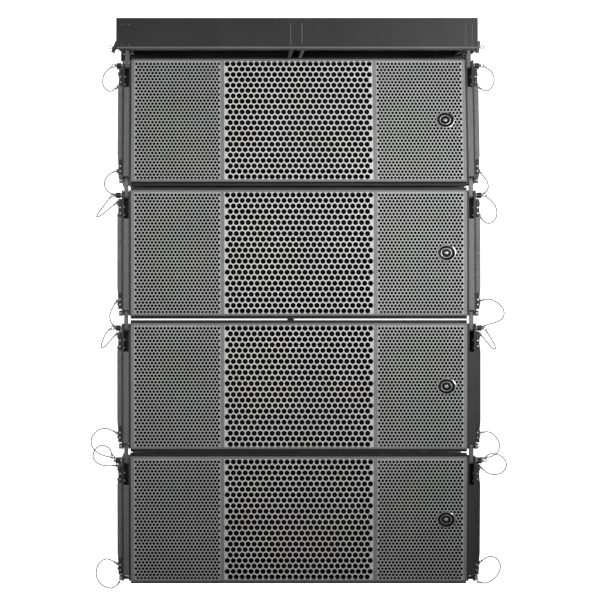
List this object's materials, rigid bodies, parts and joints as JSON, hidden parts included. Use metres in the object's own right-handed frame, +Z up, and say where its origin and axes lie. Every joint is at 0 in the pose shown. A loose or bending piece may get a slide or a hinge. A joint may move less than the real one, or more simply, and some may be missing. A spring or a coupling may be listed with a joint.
{
  "type": "line array hang with fly bar",
  "caption": "Small line array hang: steel fly bar with dual-woofer wedge elements, perforated grilles, front links, rear splay blades and pins on wire lanyards.",
  "frame": {"origin": "centre of the fly bar's sixth pickup hole from the front, midway between the two spine plates", "axes": "+X to the right seen from the front, +Y from the front to the rear, +Z up as hung"},
  "size_m": [0.8259, 0.5395, 1.1371],
  "materials": {
    "painted_steel": "textured black powder coat",
    "grille_steel": "dark grey satin powder coat",
    "painted_wood": "black textured coating over birch plywood",
    "badge_metal": "dark gloss",
    "cast_basket": "cast",
    "cone_paper": "doped paper",
    "horn_plastic": "matt black",
    "black_handle": "matt black",
    "chrome": "polished",
    "wire_rope": "stranded wire"
  },
  "bodies": {
    "fly_bar": {"fly_frame": "painted_steel", "fly_rear_bolt": "chrome"},
    "bar_pin_left": {"fly_pin_left": "black_handle"},
    "bar_pin_right": {"fly_pin_right": "black_handle"},
    "element_1": {"cabinet_1": "painted_wood", "grille_1": "grille_steel", "badge_1": "badge_metal", "woofer_frames_1": "cast_basket", "hf_unit_1": "horn_plastic", "input_panel_1": "painted_steel", "rigging_1": "painted_steel", "covers_1": "painted_steel", "links_1": "painted_steel", "lanyards_left_1": "wire_rope", "lanyards_right_1": "wire_rope"},
    "cones_1": {"woofer_cones_1": "cone_paper"},
    "release_left_1": {"pin_left_1": "black_handle"},
    "release_right_1": {"pin_right_1": "black_handle"},
    "element_2": {"cabinet_2": "painted_wood", "grille_2": "grille_steel", "badge_2": "badge_metal", "woofer_frames_2": "cast_basket", "hf_unit_2": "horn_plastic", "input_panel_2": "painted_steel", "rigging_2": "painted_steel", "covers_2": "painted_steel", "links_2": "painted_steel", "lanyards_left_2": "wire_rope", "lanyards_right_2": "wire_rope"},
    "cones_2": {"woofer_cones_2": "cone_paper"},
    "release_left_2": {"pin_left_2": "black_handle"},
    "release_right_2": {"pin_right_2": "black_handle"},
    "element_3": {"cabinet_3": "painted_wood", "grille_3": "grille_steel", "badge_3": "badge_metal", "woofer_frames_3": "cast_basket", "hf_unit_3": "horn_plastic", "input_panel_3": "painted_steel", "rigging_3": "painted_steel", "covers_3": "painted_steel", "links_3": "painted_steel", "lanyards_left_3": "wire_rope", "lanyards_right_3": "wire_rope"},
    "cones_3": {"woofer_cones_3": "cone_paper"},
    "release_left_3": {"pin_left_3": "black_handle"},
    "release_right_3": {"pin_right_3": "black_handle"},
    "element_4": {"cabinet_4": "painted_wood", "grille_4": "grille_steel", "badge_4": "badge_metal", "woofer_frames_4": "cast_basket", "hf_unit_4": "horn_plastic", "input_panel_4": "painted_steel", "rigging_4": "painted_steel", "covers_4": "painted_steel", "links_4": "painted_steel", "lanyards_left_4": "wire_rope", "lanyards_right_4": "wire_rope"},
    "cones_4": {"woofer_cones_4": "cone_paper"},
    "release_left_4": {"pin_left_4": "black_handle"},
    "release_right_4": {"pin_right_4": "black_handle"}
  },
  "joints": [
    {"name": "splay_1", "type": "hinge", "parent": "fly_bar", "child": "element_1", "pos_m": [0, -0.174, -0.035], "axis": [1, 0, 0], "range_deg": [-1, 13]},
    {"name": "splay_2", "type": "hinge", "parent": "element_1", "child": "element_2", "pos_m": [0, -0.21652, -0.30345], "axis": [1, 0, 0], "range_deg": [-8, 0], "deforming": ["lanyards_left_1", "lanyards_right_1"]},
    {"name": "splay_3", "type": "hinge", "parent": "element_2", "child": "element_3", "pos_m": [0, -0.22111, -0.56641], "axis": [1, 0, 0], "range_deg": [-1, 7], "deforming": ["lanyards_left_2", "lanyards_right_2"]},
    {"name": "splay_4", "type": "hinge", "parent": "element_3", "child": "element_4", "pos_m": [0, -0.22111, -0.82941], "axis": [1, 0, 0], "range_deg": [-3, 5], "deforming": ["lanyards_left_3", "lanyards_right_3"]},
    {"name": "cone_travel_1", "type": "slide", "parent": "element_1", "child": "cones_1", "axis": [0, 0.9877, -0.1564], "range_m": [-0.004, 0.004], "stiffness_N_per_m": 3000},
    {"name": "cone_travel_2", "type": "slide", "parent": "element_2", "child": "cones_2", "axis": [0, 0.9998, -0.0175], "range_m": [-0.004, 0.004], "stiffness_N_per_m": 3000},
    {"name": "cone_travel_3", "type": "slide", "parent": "element_3", "child": "cones_3", "axis": [0, 1, 0], "range_m": [-0.004, 0.004], "stiffness_N_per_m": 3000},
    {"name": "cone_travel_4", "type": "slide", "parent": "element_4", "child": "cones_4", "axis": [0, 0.9986, 0.0523], "range_m": [-0.004, 0.004], "stiffness_N_per_m": 3000},
    {"name": "pin_left_1_pull", "type": "slide", "parent": "element_1", "child": "release_left_1", "axis": [-1, 0, 0], "range_m": [0, 0.024], "deforming": ["lanyards_left_1"]},
    {"name": "pin_right_1_pull", "type": "slide", "parent": "element_1", "child": "release_right_1", "axis": [1, 0, 0], "range_m": [0, 0.024], "deforming": ["lanyards_right_1"]},
    {"name": "pin_left_2_pull", "type": "slide", "parent": "element_2", "child": "release_left_2", "axis": [-1, 0, 0], "range_m": [0, 0.024], "deforming": ["lanyards_left_2"]},
    {"name": "pin_right_2_pull", "type": "slide", "parent": "element_2", "child": "release_right_2", "axis": [1, 0, 0], "range_m": [0, 0.024], "deforming": ["lanyards_right_2"]},
    {"name": "pin_left_3_pull", "type": "slide", "parent": "element_3", "child": "release_left_3", "axis": [-1, 0, 0], "range_m": [0, 0.024], "deforming": ["lanyards_left_3"]},
    {"name": "pin_right_3_pull", "type": "slide", "parent": "element_3", "child": "release_right_3", "axis": [1, 0, 0], "range_m": [0, 0.024], "deforming": ["lanyards_right_3"]},
    {"name": "pin_left_4_pull", "type": "slide", "parent": "element_4", "child": "release_left_4", "axis": [-1, 0, 0], "range_m": [0, 0.024], "deforming": ["lanyards_left_4"]},
    {"name": "pin_right_4_pull", "type": "slide", "parent": "element_4", "child": "release_right_4", "axis": [1, 0, 0], "range_m": [0, 0.024], "deforming": ["lanyards_right_4"]},
    {"name": "bar_pin_left_pull", "type": "slide", "parent": "fly_bar", "child": "bar_pin_left", "axis": [-1, 0, 0], "range_m": [0, 0.024]},
    {"name": "bar_pin_right_pull", "type": "slide", "parent": "fly_bar", "child": "bar_pin_right", "axis": [1, 0, 0], "range_m": [0, 0.024]}
  ]
}
